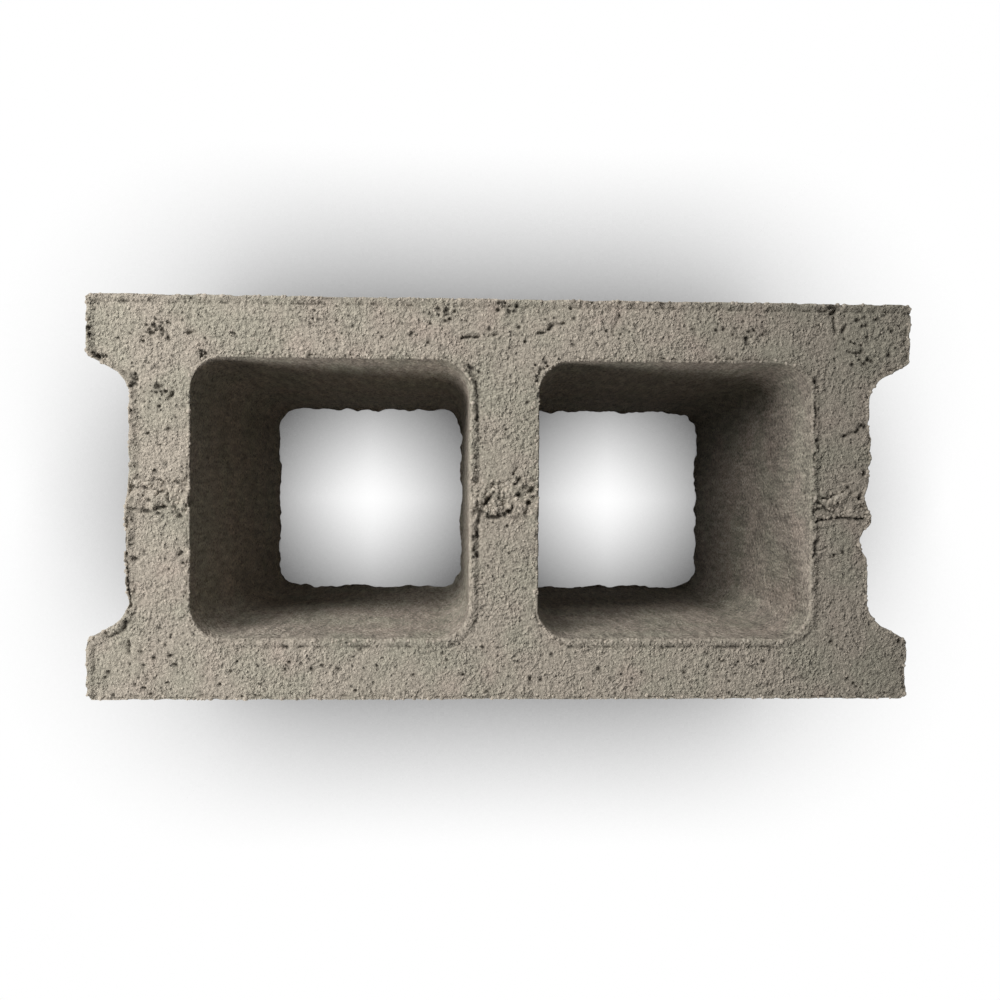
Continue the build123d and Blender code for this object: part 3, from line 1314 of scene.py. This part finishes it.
class SCENE_OT_block_studio(bpy.types.Operator):
    """Sets the pale floor, the soft lamps and the camera above the block."""

    bl_idname = "scene.block_studio"
    bl_label = "Set the studio"

    def execute(self, context):
        _, _, _, studio = settings(context)
        context.scene.view_settings.view_transform = "Standard"
        lay_floor(studio)
        light_room(context.scene, studio.room_light)
        middle = Vector((0, 0, HEIGHT))
        for name, setting, turn, rise, away, size in LAMPS:
            turn = math.radians(turn)
            rise = math.radians(rise)
            flat = math.cos(rise) * away
            place = middle + Vector((-math.cos(turn) * flat, math.sin(turn) * flat, math.sin(rise) * away))
            add_lamp(name, place, middle, getattr(studio, setting), size)
        beside = Vector((0, 0, WALL_LAMP_HEIGHT))
        for name, x, y in WALL_LAMPS:
            place = Vector((x, y, beside.z))
            add_lamp(name, place, beside, studio.side_power, WALL_LAMP_SIZE)
        set_camera(context.scene, studio)
        return {"FINISHED"}


def add_lamp(name, place, target, power, size):
    """A rectangular soft lamp that faces a target."""
    lamp = bpy.data.lights.new(name, "AREA")
    lamp.shape = "RECTANGLE"
    lamp.size, lamp.size_y = size
    lamp.energy = power
    holder = bpy.data.objects.new(name, lamp)
    holder.location = place
    holder.rotation_euler = (target - place).to_track_quat("-Z", "Y").to_euler()
    bpy.context.scene.collection.objects.link(holder)


def seen_rays(tree):
    """1 for rays that show a surface straight, in a mirror or through glass."""
    rays = tree.node("ShaderNodeLightPath").outputs
    return tree.maths(
        "MAXIMUM",
        rays["Is Camera Ray"],
        tree.maths("MAXIMUM", rays["Is Glossy Ray"], rays["Is Transmission Ray"]),
    )


def light_room(scene, strength):
    """Even light from all round, in front of a white background."""
    world = bpy.data.worlds.new("studio_room")
    world.use_nodes = True
    scene.world = world
    tree = Tree(world.node_tree)
    background = world.node_tree.nodes["Background"]
    background.inputs["Color"].default_value = (1, 1, 1, 1)
    tree.feed(background.inputs["Strength"], tree.ramp(seen_rays(tree), 0.0, 1.0, strength, 1.0))


def shadow_group(studio):
    """The block's own soft shadow on the floor, by how much of it stands close to each place."""
    group, given, out = new_group("Floor shadow", [("Vector", "vector")], [("Light", "value")])
    tree = Tree(group)
    place = tree.node("ShaderNodeSeparateXYZ", {0: given.outputs["Vector"]}).outputs
    along = tree.maths("LESS_THAN", tree.maths("ABSOLUTE", place["X"]), CORE_ZONE_X)
    across = tree.maths("LESS_THAN", tree.maths("ABSOLUTE", place["Y"]), CORE_ZONE_Y)
    in_core = tree.maths("MULTIPLY", along, across)
    reach = tree.ramp(in_core, 0.0, 1.0, studio.shadow_reach, studio.core_reach)
    depth = tree.ramp(in_core, 0.0, 1.0, studio.shadow_depth, studio.core_depth)
    light = tree.node("ShaderNodeAmbientOcclusion", {"Distance": reach}, samples=16).outputs["AO"]
    shaded = tree.maths("MULTIPLY", tree.maths("SUBTRACT", 1.0, light), depth)
    tree.feed(out.inputs["Light"], tree.maths("SUBTRACT", 1.0, shaded, clamp=True))
    return group


def lay_floor(studio):
    """A white floor that keeps the block's soft shadow."""
    ways = ((-1, -1), (1, -1), (1, 1), (-1, 1))
    corners = [(x * FLOOR_REACH, y * FLOOR_REACH, -FLOOR_DROP) for x, y in ways]
    floor = make_mesh("studio_floor", corners, [(0, 1, 2, 3)])
    material = bpy.data.materials.new("white_table")
    material.use_nodes = True
    nodes = material.node_tree.nodes
    nodes.remove(nodes["Principled BSDF"])
    tree = Tree(material.node_tree)
    plain = tree.node("ShaderNodeBsdfDiffuse", {"Color": (0.8, 0.8, 0.8, 1)})
    place = tree.node("ShaderNodeNewGeometry").outputs["Position"]
    shadow = tree.node("ShaderNodeGroup", {"Vector": place}, node_tree=shadow_group(studio))
    shown = tree.node("ShaderNodeEmission", {"Color": (1, 1, 1, 1), "Strength": shadow.outputs["Light"]})
    both = tree.node("ShaderNodeMixShader", {0: seen_rays(tree), 1: plain.outputs[0], 2: shown.outputs[0]})
    tree.feed(nodes["Material Output"].inputs["Surface"], both.outputs[0])
    floor.data.materials.append(material)


def set_camera(scene, studio):
    """A camera nearly straight above the block, a little to the left of its middle."""
    lens = bpy.data.cameras.new("camera")
    lens.lens = studio.focal
    lens.sensor_width = SENSOR_WIDTH
    lens.shift_x, lens.shift_y = PICTURE_SHIFT
    camera = bpy.data.objects.new("camera", lens)
    yaw, pitch, roll = (math.radians(angle) for angle in CAMERA_TURNS)
    turns = ((0, yaw, 0), (pitch, 0, 0), (0, 0, roll))
    about_y, about_x, about_z = (Euler(angles).to_matrix() for angles in turns)
    camera.rotation_euler = (about_y @ about_x @ about_z).to_euler()
    camera.location = (*CAMERA_PLACE, HEIGHT + studio.camera_height)
    scene.collection.objects.link(camera)
    scene.camera = camera


class VIEW3D_PT_block(bpy.types.Panel):
    """The block's sizes, relief, colours and studio, with a button for each step."""

    bl_idname = "VIEW3D_PT_block"
    bl_label = "Concrete block"
    bl_space_type = "VIEW_3D"
    bl_region_type = "UI"
    bl_category = "Block"

    def draw(self, context):
        layout = self.layout
        for operator in OPERATORS:
            layout.operator(operator.bl_idname)
        for group in settings(context):
            box = layout.box()
            for name in group.bl_rna.properties.keys():
                if name not in ("rna_type", "name"):
                    box.prop(group, name)


OPERATORS = (OBJECT_OT_cast_block, OBJECT_OT_scatter_grains, SCENE_OT_block_studio)
CLASSES = (*SETTINGS, *OPERATORS, VIEW3D_PT_block)
GROUPS = ("block_sizes", "block_relief", "block_colours", "block_studio")


def register():
    for cls in CLASSES:
        bpy.utils.register_class(cls)
    for name, cls in zip(GROUPS, SETTINGS):
        setattr(bpy.types.Scene, name, bpy.props.PointerProperty(type=cls))


def unregister():
    for name in GROUPS:
        delattr(bpy.types.Scene, name)
    for cls in reversed(CLASSES):
        bpy.utils.unregister_class(cls)


def main():
    """Builds the block and its studio."""
    register()
    bpy.ops.scene.block_studio()
    bpy.ops.object.cast_block()
    bpy.ops.object.scatter_grains()


if __name__ == "__main__":
    main()
